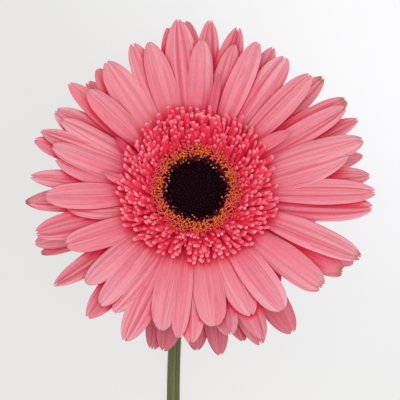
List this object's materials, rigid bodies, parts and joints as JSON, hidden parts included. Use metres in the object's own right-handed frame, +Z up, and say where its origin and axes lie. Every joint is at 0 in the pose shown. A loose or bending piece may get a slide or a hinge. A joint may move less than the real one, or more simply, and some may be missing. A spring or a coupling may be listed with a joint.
{
  "type": "cut gerbera",
  "caption": "Cut gerbera lying face up: a double pink bloom with a dark centre and an orange inner ring, on a bare green stem.",
  "frame": {"origin": "on the flat underside of the stem, where the neck leaves the surface", "axes": "+Z straight up from the surface, +Y along the stem towards the bloom, +X to the right"},
  "size_m": [0.1181, 0.3554, 0.0542],
  "materials": {
    "stem": "soft satin green, finely ribbed and downy",
    "bracts": "matt downy green",
    "petals": "soft velvety coral pink with fine lengthwise grooves",
    "short_florets": "soft coral red with pale pink tips",
    "open_disc_florets": "matt orange with golden pollen",
    "closed_disc_buds": "matt blackish maroon"
  },
  "bodies": {
    "root": {"stem": "stem", "involucre": "bracts", "ray_florets_outer": "petals", "ray_florets_middle": "petals", "ray_florets_inner": "petals", "trans_florets": "short_florets", "disc_florets": "open_disc_florets", "disc_buds": "closed_disc_buds"}
  },
  "joints": []
}
